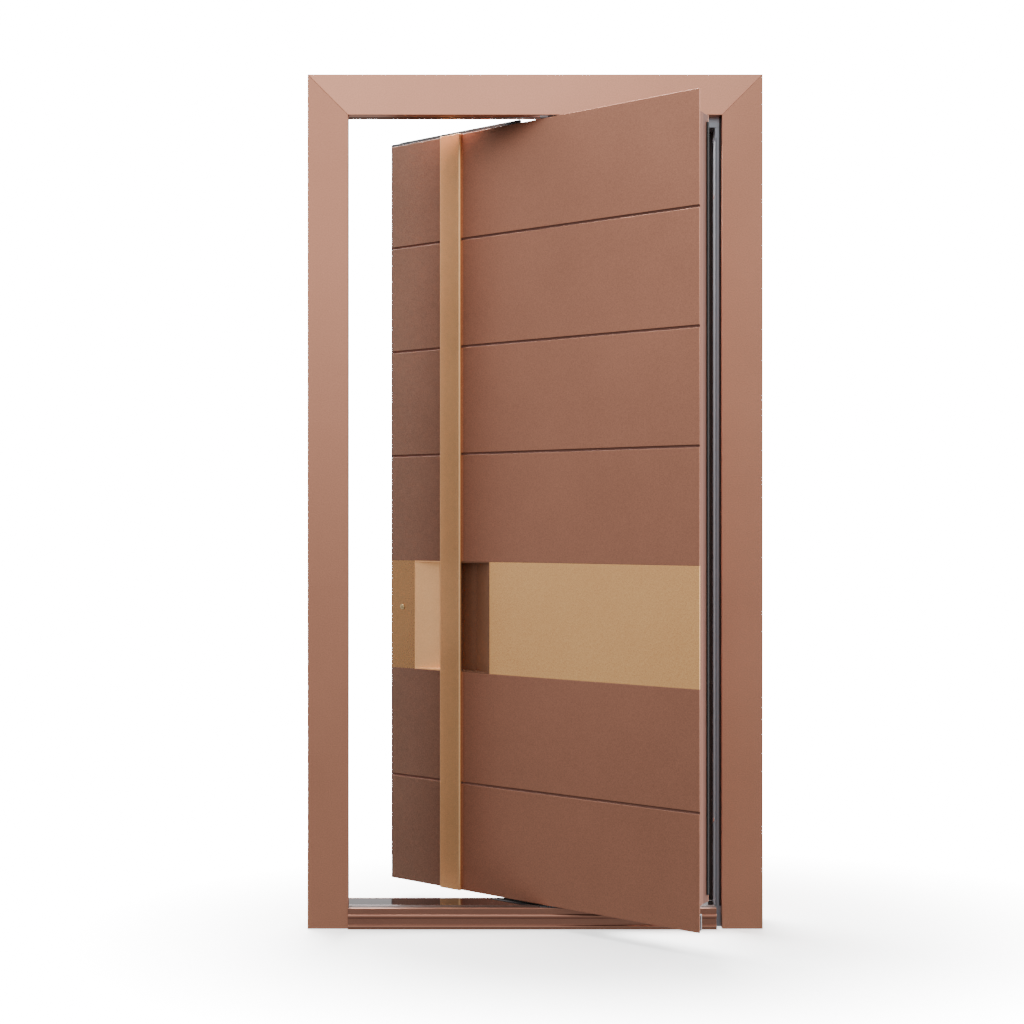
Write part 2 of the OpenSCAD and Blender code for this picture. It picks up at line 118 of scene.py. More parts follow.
@dataclass(frozen=True)
class Finish:
    """One finish and the procedural material that shows it."""

    name: str
    colour: tuple[int, int, int]
    metallic: float
    roughness: float
    grain: Grain = Grain.SATIN
    grain_size: float = 1.6 * MM
    bump: float = 0.10
    mottle: float = 0.05
    coat: float = 0.0

    def material(self) -> bpy.types.Material:
        """Return the material of this finish, made on first use."""
        found = bpy.data.materials.get(self.title)
        return found if found else self._make()

    @property
    def title(self) -> str:
        """Return the name of the finish's material."""
        return f"{self.name}_finish"

    def _shade(self, factor: float) -> tuple[float, float, float, float]:
        """Return the finish's linear colour times a factor, with full alpha."""
        red, green, blue = (min(1.0, linear(c) * factor) for c in self.colour)
        return red, green, blue, 1.0

    def _make(self) -> bpy.types.Material:
        """Build the node tree: cloudy colour, uneven gloss and a fine bump."""
        material = bpy.data.materials.new(self.title)
        material.use_nodes = True
        nodes, links = material.node_tree.nodes, material.node_tree.links
        shader = nodes["Principled BSDF"]
        shader.inputs["Metallic"].default_value = self.metallic
        shader.inputs["Coat Weight"].default_value = self.coat
        shader.inputs["Coat Roughness"].default_value = 0.25
        place = nodes.new("ShaderNodeTexCoord")
        stretch = nodes.new("ShaderNodeMapping")
        stretch.inputs["Scale"].default_value = self._stretch()
        links.new(place.outputs["Object"], stretch.inputs["Vector"])

        cloud = nodes.new("ShaderNodeTexNoise")
        cloud.inputs["Scale"].default_value = CLOUDS_PER_METRE
        cloud.inputs["Detail"].default_value = 5.0
        cloud.inputs["Roughness"].default_value = 0.6
        links.new(place.outputs["Object"], cloud.inputs["Vector"])

        grain = self._grain_node(nodes)
        links.new(stretch.outputs["Vector"], grain.inputs["Vector"])
        value = grain.outputs["Distance" if self.grain is Grain.FOAM else "Fac"]

        blend = nodes.new("ShaderNodeMix")
        blend.data_type = "FLOAT"
        blend.inputs["Factor"].default_value = GRAIN_SHARE
        links.new(cloud.outputs["Fac"], blend.inputs["A"])
        links.new(value, blend.inputs["B"])
        ramp = nodes.new("ShaderNodeValToRGB")
        ramp.color_ramp.elements[0].position = 0.34
        ramp.color_ramp.elements[0].color = self._shade(1 - 2 * self.mottle)
        ramp.color_ramp.elements[1].position = 0.66
        ramp.color_ramp.elements[1].color = self._shade(1 + 2 * self.mottle)
        links.new(blend.outputs["Result"], ramp.inputs["Fac"])
        links.new(ramp.outputs["Color"], shader.inputs["Base Color"])

        gloss = nodes.new("ShaderNodeMapRange")
        gloss.inputs["To Min"].default_value = self.roughness * (1 - GLOSS_SPREAD)
        gloss.inputs["To Max"].default_value = min(1.0, self.roughness * (1 + GLOSS_SPREAD))
        links.new(blend.outputs["Result"], gloss.inputs["Value"])
        links.new(gloss.outputs["Result"], shader.inputs["Roughness"])

        relief = nodes.new("ShaderNodeBump")
        relief.inputs["Strength"].default_value = self.bump
        relief.inputs["Distance"].default_value = RELIEF_DEPTH
        links.new(value, relief.inputs["Height"])
        links.new(relief.outputs["Normal"], shader.inputs["Normal"])
        return material

    def _stretch(self) -> Triple:
        """Return how far the grain is drawn out along each axis."""
        return (1.0, 1.0, 0.04) if self.grain is Grain.BRUSHED else (1.0, 1.0, 1.0)

    def _grain_node(self, nodes: bpy.types.Nodes) -> bpy.types.Node:
        """Return the texture node that draws this finish's grain."""
        if self.grain is Grain.FOAM:
            cells = nodes.new("ShaderNodeTexVoronoi")
            cells.inputs["Scale"].default_value = 1 / self.grain_size
            return cells
        noise = nodes.new("ShaderNodeTexNoise")
        noise.inputs["Scale"].default_value = 1 / self.grain_size
        noise.inputs["Detail"].default_value = 2.0 if self.grain is Grain.SATIN else 4.0
        noise.inputs["Roughness"].default_value = 0.55
        return noise


SHEET_GRAIN = 3.2 * MM

FRAME_BRONZE = Finish(
    "frame_bronze", (186, 130, 106), 0.90, 0.40, grain_size=SHEET_GRAIN, bump=0.24, mottle=0.06
)
# Painted light: a lighter copy of the frame bronze for the head casing, for the light that falls on
# the top of the frame.
HEAD_BRONZE_PAINTED_LIGHT = Finish(
    "head_bronze", (212, 151, 125), 0.90, 0.40, grain_size=SHEET_GRAIN, bump=0.24, mottle=0.06
)
LEAF_BRONZE = Finish(
    "leaf_bronze", (166, 115, 94), 0.90, 0.36, grain_size=SHEET_GRAIN, bump=0.24, mottle=0.07
)
# Painted shade: a darker copy of the leaf bronze for the strip between the pull bar and the handle
# edge.
STRIP_PAINTED_SHADE = Finish(
    "strip_bronze", (138, 104, 88), 0.88, 0.38, grain_size=SHEET_GRAIN, bump=0.30, mottle=0.10
)
PROFILE_BRONZE = Finish("profile_bronze", (118, 76, 61), 0.20, 0.65, bump=0.12)
# Painted shade: a darker bronze for the faces inside the cladding's grooves.
GROOVE_PAINTED_SHADE = Finish("groove_bronze", (100, 62, 48), 0.30, 0.60, mottle=0.08)
EDGE_BRONZE = Finish("edge_bronze", (150, 100, 82), 0.15, 0.75, bump=0.08)
GOLD = Finish("gold", (255, 188, 124), 0.92, 0.20, grain_size=SHEET_GRAIN, bump=0.16, mottle=0.07)
# Painted shade: a darker copy of the gold for the gold sheet on the handle side of the pull bar.
GOLD_PAINTED_SHADE = Finish(
    "deep_gold", (182, 136, 94), 0.92, 0.28, grain_size=SHEET_GRAIN, bump=0.22, mottle=0.08
)
BAR_GOLD = Finish(
    "bar_gold", (240, 190, 136), 0.90, 0.31, grain_size=2.4 * MM, bump=0.16, mottle=0.06
)
STOP_GREY = Finish("stop_grey", (134, 137, 144), 0.85, 0.36, bump=0.06, mottle=0.02)
SILVER = Finish("silver", (196, 199, 204), 0.90, 0.34, bump=0.06, mottle=0.02)
SEAL = Finish("seal", (22, 22, 24), 0.0, 0.75, Grain.RUBBER, 0.9 * MM, 0.15, 0.10)
SILL_BRONZE = Finish("sill_bronze", (150, 106, 89), 0.85, 0.30, bump=0.10)
SILL_DARK = Finish("sill_dark", (58, 42, 36), 0.35, 0.42, Grain.RUBBER, 2.0 * MM, 0.12, 0.08)
SILL_GLOSS = Finish("sill_gloss", (92, 84, 84), 0.95, 0.09, Grain.POLISHED, 40 * MM, 0.02, 0.02)
STEEL = Finish("steel", (150, 152, 156), 0.95, 0.30, Grain.BRUSHED, 1.2 * MM, 0.10, 0.05)
FOAM = Finish("foam", (222, 208, 168), 0.0, 0.85, Grain.FOAM, 3.0 * MM, 0.30, 0.06)
ANTHRACITE = Finish("anthracite", (74, 78, 82), 0.35, 0.42, bump=0.12, mottle=0.05)
LOCK_BRASS = Finish("lock_brass", (206, 178, 132), 0.95, 0.22, Grain.BRUSHED, 0.8 * MM, 0.08)
# Painted light and shade in the grip recess: a lighter gold for its slant and a deep brown past the
# bar.
RECESS_PAINTED_LIGHT = Finish("recess_gold", (250, 190, 132), 0.55, 0.36, grain_size=SHEET_GRAIN, bump=0.16)
RECESS_PAINTED_SHADE = Finish(
    "recess_shade", (112, 74, 52), 0.40, 0.45, grain_size=SHEET_GRAIN, bump=0.20, mottle=0.12
)
REVEAL_DARK = Finish("reveal_dark", (74, 50, 41), 0.30, 0.55, bump=0.10)
# Painted shade: near-black for holes and gaps, laid on as thin dark pieces where the key slot, the
# bolt pockets and the pivot edge's joint lie.
VOID_PAINTED_SHADE = Finish("dark_void", (9, 8, 8), 0.0, 0.9, Grain.RUBBER, 1.0 * MM, 0.05, 0.10)


@dataclass
class Workshop:
    """Makes pieces on the fixed frame: eased copies of its parts, and small new ones."""

    frame: dict
    angle_limit: float = radians(30)
    flat_area: float = 0.006
    rest: Matrix = field(init=False)
    made: int = 0

    def __post_init__(self) -> None:
        """Work out the turn from the leaf's closed position to rest."""
        joint = self.frame["joints"][0]
        pivot = Matrix.Translation(Vector(joint["pos_m"]))
        turn = Matrix.Rotation(radians(-joint["range_deg"][0]), 4, Vector(joint["axis"]))
        self.rest = pivot @ turn @ pivot.inverted()

    def body_of(self, node: str) -> Body:
        """Return the body that carries a node."""
        leaf_nodes = self.frame["record"]["behaviour"]["bodies"][Body.LEAF.value]
        return Body.LEAF if node in leaf_nodes else Body.FRAME

    def closed_points(self, node: str) -> list[Vector]:
        """Return a node's corners with the leaf closed."""
        back = self.rest.inverted() if self.body_of(node) is Body.LEAF else Matrix()
        return [back @ v.co for v in self.frame["nodes"][node].data.vertices]

    def closed_box(self, node: str) -> tuple[Vector, Vector]:
        """Return a node's lowest and highest corners with the leaf closed."""
        points = self.closed_points(node)
        low = Vector(min(p[i] for p in points) for i in range(3))
        high = Vector(max(p[i] for p in points) for i in range(3))
        return low, high

    def keep(
        self, mesh: bmesh.types.BMesh, name: str, body: Body, *finishes: Finish
    ) -> bpy.types.Object:
        """Turn a bmesh into a finished piece that rides on a body.

        Args:
            mesh: the piece's shape, in its place at rest.
            name: the piece's name.
            body: the body that carries it.
            finishes: its finishes, in the order of the faces' material numbers.

        Returns:
            The new object.
        """
        data = bpy.data.meshes.new(name)
        mesh.to_mesh(data)
        mesh.free()
        data.shade_smooth()
        data.set_sharp_from_angle(angle=SHARP_ANGLE)
        self.flatten(data)
        for finish in finishes:
            data.materials.append(finish.material())
        piece = bpy.data.objects.new(name, data)
        bpy.context.scene.collection.objects.link(piece)
        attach(piece, body.value)
        self.made += 1
        LOG.info("%s: %d faces on %s", name, len(data.polygons), body.value)
        return piece

    def flatten(self, data: bpy.types.Mesh) -> None:
        """Mark the edges of large faces as sharp, so that their shading stays flat."""
        for polygon in data.polygons:
            if polygon.area > self.flat_area:
                for key in polygon.loop_indices:
                    data.edges[data.loops[key].edge_index].use_edge_sharp = True

    def ease(
        self,
        node: str,
        finish: Finish,
        width: float = 0.6 * MM,
        others: tuple[Finish, ...] = (),
        pick: Callable[[bmesh.types.BMFace], int] | None = None,
        cut_x: float | None = None,
    ) -> bpy.types.Object:
        """Replace a node by a copy of it with eased edges.

        Args:
            node: the node's name.
            finish: the finish of the whole piece.
            width: how wide its edges are eased.
            others: further finishes for some of its faces.
            pick: gives a face, in the closed position, the number of its finish.
            cut_x: where its faces are split across, in the closed position.

        Returns:
            The eased piece.
        """
        body = self.body_of(node)
        mesh = bmesh.new()
        mesh.from_mesh(self.frame["nodes"][node].data)
        bmesh.ops.remove_doubles(mesh, verts=mesh.verts, dist=0.001 * MM)
        bmesh.ops.dissolve_limit(mesh, angle_limit=radians(0.5), verts=mesh.verts, edges=mesh.edges)
        if body is Body.LEAF:
            bmesh.ops.transform(mesh, matrix=self.rest.inverted(), verts=mesh.verts)
        if cut_x is not None:
            bmesh.ops.bisect_plane(
                mesh, geom=mesh.verts[:] + mesh.edges[:] + mesh.faces[:], dist=0.001 * MM,
                plane_co=(cut_x, 0, 0), plane_no=(1, 0, 0),
            )
        if pick:
            mesh.normal_update()
            for face in mesh.faces:
                face.material_index = pick(face)
        sharp = [
            e for e in mesh.edges if e.is_manifold and e.calc_face_angle(0.0) > self.angle_limit
        ]
        bmesh.ops.bevel(
            mesh, geom=sharp, offset=width, offset_type="OFFSET", segments=2, profile=0.5,
            affect="EDGES", clamp_overlap=True, material=-1,
        )
        if body is Body.LEAF:
            bmesh.ops.transform(mesh, matrix=self.rest, verts=mesh.verts)
        piece = self.keep(mesh, node + "_eased", body, finish, *others)
        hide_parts(node)
        return piece

    def add(
        self, mesh: bmesh.types.BMesh, name: str, body: Body, finish: Finish, slot: str
    ) -> bpy.types.Object:
        """Keep a piece laid out with the leaf closed, turned to rest if the leaf carries it."""
        if body is Body.LEAF:
            bmesh.ops.transform(mesh, matrix=self.rest, verts=mesh.verts)
        piece = self.keep(mesh, name, body, finish)
        return piece


def brick(low: Sequence[float], high: Sequence[float], ease: float = 0.4 * MM) -> bmesh.types.BMesh:
    """Return a box between two corners, with eased edges."""
    low, high = Vector(low), Vector(high)
    mesh = bmesh.new()
    bmesh.ops.create_cube(mesh, size=1.0)
    bmesh.ops.scale(mesh, vec=high - low, verts=mesh.verts)
    bmesh.ops.translate(mesh, vec=(low + high) / 2, verts=mesh.verts)
    bmesh.ops.bevel(
        mesh, geom=mesh.edges[:], offset=ease, offset_type="OFFSET", segments=2, profile=0.5,
        affect="EDGES", clamp_overlap=True, material=-1,
    )
    return mesh


def join(meshes: Iterable[bmesh.types.BMesh]) -> bmesh.types.BMesh:
    """Return one bmesh that holds several, which are freed."""
    whole = bmesh.new()
    for mesh in meshes:
        part = bpy.data.meshes.new("part")
        mesh.to_mesh(part)
        mesh.free()
        whole.from_mesh(part)
        bpy.data.meshes.remove(part)
    return whole


def stud(
    centre: Sequence[float], towards: Sequence[float], radius: float, height: float
) -> bmesh.types.BMesh:
    """Return a round disc with a softened rim, standing on a surface.

    Args:
        centre: the middle of its seat.
        towards: the way it stands out.
        radius: its radius.
        height: how far it stands out.

    Returns:
        The disc's bmesh.
    """
    mesh = bmesh.new()
    bmesh.ops.create_cone(
        mesh, cap_ends=True, cap_tris=False, segments=DISC_SIDES,
        radius1=radius, radius2=radius, depth=height,
    )
    rim = [e for e in mesh.edges if all(v.co.z > 0 for v in e.verts)]
    bmesh.ops.bevel(
        mesh, geom=rim, offset=height * RIM_SHARE, offset_type="OFFSET", segments=3, profile=0.5,
        affect="EDGES", clamp_overlap=True, material=-1,
    )
    turn = Vector((0, 0, 1)).rotation_difference(Vector(towards)).to_matrix().to_4x4()
    seat = Matrix.Translation(Vector(centre) + Vector(towards).normalized() * height / 2)
    bmesh.ops.transform(mesh, matrix=seat @ turn, verts=mesh.verts)
    return mesh


def screw(centre: Sequence[float], towards: Sequence[float], radius: float) -> bmesh.types.BMesh:
    """Return a low screw head with a sunk round socket."""
    mesh = stud(centre, towards, radius, SCREW_HEIGHT)
    top = max(mesh.faces, key=lambda f: f.calc_center_median().dot(Vector(towards)))
    bmesh.ops.inset_region(
        mesh, faces=[top], thickness=radius * SOCKET_INSET, use_even_offset=True
    )
    sink = Vector(towards).normalized() * -SOCKET_DEPTH
    bmesh.ops.translate(mesh, vec=sink, verts=top.verts)
    return mesh


@dataclass
class Surround:
    """The fixed frame: casings, jambs, stops, trims and seals."""

    shop: Workshop
    casing_ease: float = 0.9 * MM
    rib: float = 1.4 * MM
    bead_span: tuple[float, float] = (2 * MM, 3.5 * MM)
    fin_back: float = 62 * MM
    fin_out: float = 13 * MM
    fin_t: float = 4 * MM
    cap_radius: float = 6 * MM
    cap_height: float = 1.2 * MM
    sill: float = 0.06
    bead_short: float = 0.03
    screw_in: float = 0.015

    def build(self) -> None:
        """Finish the frame's parts and add its small ones."""
        for node in ("left_casing", "right_casing"):
            self.shop.ease(node, FRAME_BRONZE, self.casing_ease)
        # The head casing takes the lighter copy of the bronze: painted light from above.
        self.shop.ease("head_casing", HEAD_BRONZE_PAINTED_LIGHT, self.casing_ease)
        for node in ("left_jamb", "right_jamb", "head_jamb"):
            self.shop.ease(node, REVEAL_DARK, 0.5 * MM)
        for node in ("left_inner_trim", "right_inner_trim", "head_inner_trim"):
            self.shop.ease(node, FRAME_BRONZE, 1.5 * MM)
        for node in ("right_stop", "head_stop"):
            self.shop.ease(node, STOP_GREY, 0.5 * MM)
        self.shop.ease("strike_plate", SILVER, 0.3 * MM)
        for node in ("left_seal", "right_seal", "head_seal"):
            self.shop.ease(node, SEAL, 0.6 * MM)
        for node in ("floor_bearing", "head_bearing"):
            self.shop.ease(node, STEEL, 0.4 * MM)
        self.stop_lines()
        self.strike_screws()
        self.anchor_caps()

    def stop_lines(self) -> None:
        """Add the dark bead on the front of the pivot side stop, and the fin beside it."""
        low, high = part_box("right_stop")
        near, far = self.bead_span
        bead = brick(
            (low[0] + near, low[1] - self.rib, self.sill),
            (low[0] + far, low[1], high[2] - self.bead_short),
        )
        self.shop.add(bead, "stop_bead", Body.FRAME, SEAL, "seal")
        back = self.shop.frame["joints"][0]["pos_m"][1] + self.fin_back
        fin = brick(
            (low[0] - self.fin_out, back, self.sill + MM),
            (low[0] + MM, back + self.fin_t, high[2]),
            0.5 * MM,
        )
        self.shop.add(fin, "stop_fin", Body.FRAME, SEAL, "seal")

    def strike_screws(self) -> None:
        """Add the screws of the strike plate, and its bolt pockets as painted shade."""
        low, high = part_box("strike_plate")
        y = (low[1] + high[1]) / 2
        heads = [
            screw((high[0], y, z), (1, 0, 0), SCREW_RADIUS)
            for z in (low[2] + self.screw_in, high[2] - self.screw_in)
        ]
        self.shop.add(join(heads), "strike_screws", Body.FRAME, STEEL, "silver")
        quarter = (high[2] - low[2]) / 4
        # The bolt pockets are painted shade: thin dark boxes on the plate's face.
        pockets = [
            brick((high[0] - 0.1 * MM, y - 8 * MM, low[2] + quarter * i - 18 * MM),
                  (high[0] + 0.3 * MM, y + 8 * MM, low[2] + quarter * i + 18 * MM), BLACK_EASE)
            for i in (1, 2, 3)
        ]
        self.shop.add(join(pockets), "strike_pockets", Body.FRAME, VOID_PAINTED_SHADE, "seal")

    def anchor_caps(self) -> None:
        """Add the caps that close the anchor holes on both reveals."""
        mounts = {m["name"]: m for m in self.shop.frame["record"]["mounts"]}
        caps = []
        for name in ("left_anchors", "right_anchors"):
            mount = mounts[name]
            x, y, z = mount["pos_m"]
            dy = mount["dims"]["spacing_x_mm"] * MM / 2
            dz = mount["dims"]["spacing_y_mm"] * MM / 2
            for sy in (-1, 1):
                for sz in (-1, 1):
                    seat = (x, y + sy * dy, z + sz * dz)
                    caps.append(stud(seat, mount["axis"], self.cap_radius, self.cap_height))
        self.shop.add(join(caps), "anchor_caps", Body.FRAME, PROFILE_BRONZE, "profile_bronze")


@dataclass
class Threshold:
    """The stepped threshold under the leaf."""

    shop: Workshop
    rib_pitch: float = 5 * MM
    rib_height: float = 0.4 * MM

    def build(self) -> None:
        """Finish the threshold's parts and add the ribs."""
        self.shop.ease("threshold_nose", SILL_BRONZE, 0.8 * MM)
        self.shop.ease("threshold_base", SILL_DARK, 0.5 * MM)
        self.shop.ease("threshold_front_strip", SILL_DARK, 0.4 * MM)
        self.shop.ease("threshold_top_plate", SILL_GLOSS, 0.6 * MM)
        self.shop.ease("threshold_rear_edge", SILL_BRONZE, 0.3 * MM)
        self.ribs()

    def ribs(self) -> None:
        """Add the fine grip ribs on the front strip, clear of the floor bearing."""
        low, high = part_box("threshold_front_strip")
        block_low, block_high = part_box("floor_bearing")
        nose_low, nose_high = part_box("threshold_nose")
        spans = ((nose_low[0], block_low[0]), (block_high[0], nose_high[0]))
        count = int((high[1] - low[1] - 4 * MM) / self.rib_pitch)
        ribs = [
            brick(
                (x0 + MM, low[1] + 3 * MM + i * self.rib_pitch, high[2] - 0.2 * MM),
                (x1 - MM, low[1] + 4.5 * MM + i * self.rib_pitch, high[2] + self.rib_height),
                0.2 * MM,
            )
            for i in range(count) for x0, x1 in spans
        ]
        self.shop.add(join(ribs), "threshold_ribs", Body.FRAME, SILL_DARK, "threshold_dark")


@dataclass
class Leaf:
    """The turning leaf: cladding, core, pull bar and lock, laid out closed."""

    shop: Workshop
    sheet_ease: float = 0.8 * MM
    seal_out: float = 4.2 * MM
    cap_up: float = 1.6 * MM
    trim_out: float = 2.5 * MM
    trim_depth: float = 12 * MM
    layer_out: float = 1.5 * MM
    joint_part: float = 0.26
    bead_part: tuple[float, float] = (0.27, 0.62)
    seal_part: float = 0.88
    seal_short: float = 0.02
    key_half: tuple[float, float] = (0.9 * MM, 3.4 * MM)
    plug_share: float = 0.62
    bolt_half: tuple[float, float] = (7 * MM, 15 * MM)
    bolt_out: float = 2 * MM
    seat_share: float = 1.7
    screw_in: float = 0.012
    core_nodes: tuple[str, ...] = ("upper_core", "lower_core", "middle_core", "recess_core")
    stile_nodes: tuple[str, ...] = (
        "handle_stile", "pivot_stile", "top_rail_handle_side", "top_rail_pivot_side", "low_rail",
    )
    backing_nodes: tuple[str, ...] = (
        "upper_backing", "lower_backing", "middle_backing", "lock_backing", "drop_seal",
    )

    def build(self) -> None:
        """Finish the leaf's parts and add its small ones."""
        for node in ("upper_cladding", "lower_cladding", "inner_cladding"):
            self.clad(node)
        # The handle side gold sheet takes the darker copy of the gold: painted shade.
        self.shop.ease("gold_sheet_handle_side", GOLD_PAINTED_SHADE, 0.5 * MM)
        self.shop.ease("gold_sheet_pivot_side", GOLD, 0.5 * MM)
        self.recess()
        for node in self.core_nodes:
            self.shop.ease(node, FOAM, 0.3 * MM)
        for node in self.stile_nodes:
            self.shop.ease(node, PROFILE_BRONZE, 0.8 * MM)
        for node in self.backing_nodes:
            self.shop.ease(node, SEAL, 0.5 * MM)
        for node in ("side_lip", "head_lip"):
            self.shop.ease(node, ANTHRACITE, 0.6 * MM)
        for node in ("bottom_pivot", "top_pivot"):
            self.shop.ease(node, STEEL, 0.5 * MM)
        for node in ("bottom_rail", "lock_faceplate", "inside_handle_posts"):
            self.shop.ease(node, SILVER, 0.3 * MM)
        for node in ("pull_bar", "inside_handle"):
            self.shop.ease(node, BAR_GOLD, 0.8 * MM)
        self.shop.ease("lock_cylinder", LOCK_BRASS, 0.6 * MM)
        self.edge_profile()
        self.lip_seal()
        self.edge_trims()
        self.keyway()
        self.faceplate_bolts()
        self.handle_rosettes()

    def bar_middle(self) -> float:
        """Return where the pull bar's middle line lies across the closed leaf."""
        low, high = self.shop.closed_box("pull_bar")
        return (low.x + high.x) / 2

    def clad(self, node: str) -> None:
        """Ease one cladding sheet, with painted shade in its grooves and on the strip beyond the
        bar.
        """
        low, high = self.shop.closed_box(node)
        middle = self.bar_middle()

        def finish_of(face: bmesh.types.BMFace) -> int:
            """Return 1 inside a groove, 2 on the strip beyond the bar, and 0 elsewhere."""
            centre = face.calc_center_median()
            off_end = min(centre.z - low.z, high.z - centre.z) > MM
            off_skin = min(centre.y - low.y, high.y - centre.y) > 0.1 * MM
            off_side = min(centre.x - low.x, high.x - centre.x) > MM
            if off_end and off_skin and off_side:
                return 1
            return 2 if centre.x < middle else 0

        # Finishes 1 and 2 paint shade into the grooves and onto the strip beyond the bar.
        self.shop.ease(
            node, LEAF_BRONZE, self.sheet_ease, (GROOVE_PAINTED_SHADE, STRIP_PAINTED_SHADE), finish_of, middle
        )

    def recess(self) -> None:
        """Ease the grip recess, with painted light on the slant and painted shade past the bar."""
        middle = self.bar_middle()

        def finish_of(face: bmesh.types.BMFace) -> int:
            """Return 1 on the pivot side of the bar's middle, and 0 elsewhere."""
            return int(face.calc_center_median().x > middle)

        # Faces on the handle side of the bar take painted light, and those past it painted shade.
        self.shop.ease("grip_recess", RECESS_PAINTED_LIGHT, 0.5 * MM, (RECESS_PAINTED_SHADE,), finish_of, middle)

    def edge_profile(self) -> None:
        """Add the joint, bead and seal that show as layers on the pivot edge."""
        low, high = self.shop.closed_box("pivot_stile")
        depth = high.y - low.y
        front, back = self.bead_part
        outer = high.x + self.layer_out
        # The joint is painted shade: a thin near-black layer where the gap lies.
        joint = brick(
            (high.x, low.y, low.z), (outer, low.y + self.joint_part * depth, high.z), BLACK_EASE
        )
        self.shop.add(joint, "edge_joint", Body.LEAF, VOID_PAINTED_SHADE, "seal")
        bead = brick(
            (high.x, low.y + front * depth, low.z), (outer, low.y + back * depth, high.z), 0.5 * MM
        )
        self.shop.add(bead, "edge_bead", Body.LEAF, EDGE_BRONZE, "leaf_bronze")
        seal = brick(
            (high.x, low.y + self.seal_part * depth, low.z + self.seal_short),
            (high.x + self.seal_out, high.y, high.z - self.seal_short),
            1.2 * MM,
        )
        self.shop.add(seal, "edge_seal", Body.LEAF, SEAL, "seal")

    def lip_seal(self) -> None:
        """Add the seal that stands on the head lip's rim."""
        low, high = self.shop.closed_box("head_lip")
        rim = [p.y for p in self.shop.closed_points("head_lip") if p.z > high.z - 0.1 * MM]
        cap = brick(
            (low.x + MM, min(rim), high.z), (high.x - MM, max(rim), high.z + self.cap_up), 0.5 * MM
        )
        self.shop.add(cap, "head_lip_seal", Body.LEAF, ANTHRACITE, "seal")

    def edge_trims(self) -> None:
        """Add the thin dark trims along the handle edge of the front sheets."""
        for node in ("upper_cladding", "lower_cladding"):
            low, high = self.shop.closed_box(node)
            trim = brick(
                (low.x - self.trim_out, low.y + MM, low.z),
                (low.x, low.y + self.trim_depth, high.z),
                0.4 * MM,
            )
            self.shop.add(trim, f"{node}_trim", Body.LEAF, ANTHRACITE, "anthracite")

    def keyway(self) -> None:
        """Add the plug on the lock cylinder, and the key slot as painted shade."""
        low, high = self.shop.closed_box("lock_cylinder")
        x, z = (low.x + high.x) / 2, (low.z + high.z) / 2
        radius = (high.x - low.x) / 2
        plug = stud((x, low.y, z), (0, -1, 0), radius * self.plug_share, 0.8 * MM)
        self.shop.add(plug, "lock_plug", Body.LEAF, LOCK_BRASS, "lock")
        wide, tall = self.key_half
        # The key slot is painted shade: a thin dark piece in front of the cylinder's face.
        slot = brick(
            (x - wide, low.y - 1.0 * MM, z - tall),
            (x + wide, low.y - 0.7 * MM, z + tall),
            BLACK_EASE,
        )
        self.shop.add(slot, "key_slot", Body.LEAF, VOID_PAINTED_SHADE, "seal")

    def faceplate_bolts(self) -> None:
        """Add the bolts and screws that show on the lock's face plate."""
        low, high = self.shop.closed_box("lock_faceplate")
        y = (low.y + high.y) / 2
        quarter = (high.z - low.z) / 4
        wide, tall = self.bolt_half
        bolts = [
            brick((low.x - self.bolt_out, y - wide, low.z + quarter * i - tall),
                  (low.x, y + wide, low.z + quarter * i + tall), 0.8 * MM)
            for i in (1, 2, 3)
        ]
        self.shop.add(join(bolts), "lock_bolts", Body.LEAF, STEEL, "silver")
        heads = [
            screw((low.x, y, z), (-1, 0, 0), SCREW_RADIUS)
            for z in (low.z + self.screw_in, high.z - self.screw_in)
        ]
        self.shop.add(join(heads), "faceplate_screws", Body.LEAF, STEEL, "silver")

    def handle_rosettes(self) -> None:
        """Add the round seats of the inside handle's posts."""
        low, high = self.shop.closed_box("inside_handle_posts")
        x = (low.x + high.x) / 2
        radius = (high.x - low.x) / 2
        seats = [
            stud((x, low.y, z), (0, 1, 0), radius * self.seat_share, 4 * MM)
            for z in (low.z + radius, high.z - radius)
        ]
        self.shop.add(join(seats), "handle_rosettes", Body.LEAF, BAR_GOLD, "bar_gold")


@dataclass(frozen=True)
class Lamp:
    """One square area light."""

    name: str
    place: Triple
    aim: Triple
    size: float
    watts: float

    def hang(self) -> None:
        """Put the light in the scene, facing its aim."""
        data = bpy.data.lights.new(self.name, "AREA")
        data.size = self.size
        data.energy = self.watts
        light = bpy.data.objects.new(self.name, data)
        light.location = self.place
        facing = Vector(self.aim) - Vector(self.place)
        light.rotation_euler = facing.to_track_quat("-Z", "Y").to_euler()
        bpy.context.scene.collection.objects.link(light)


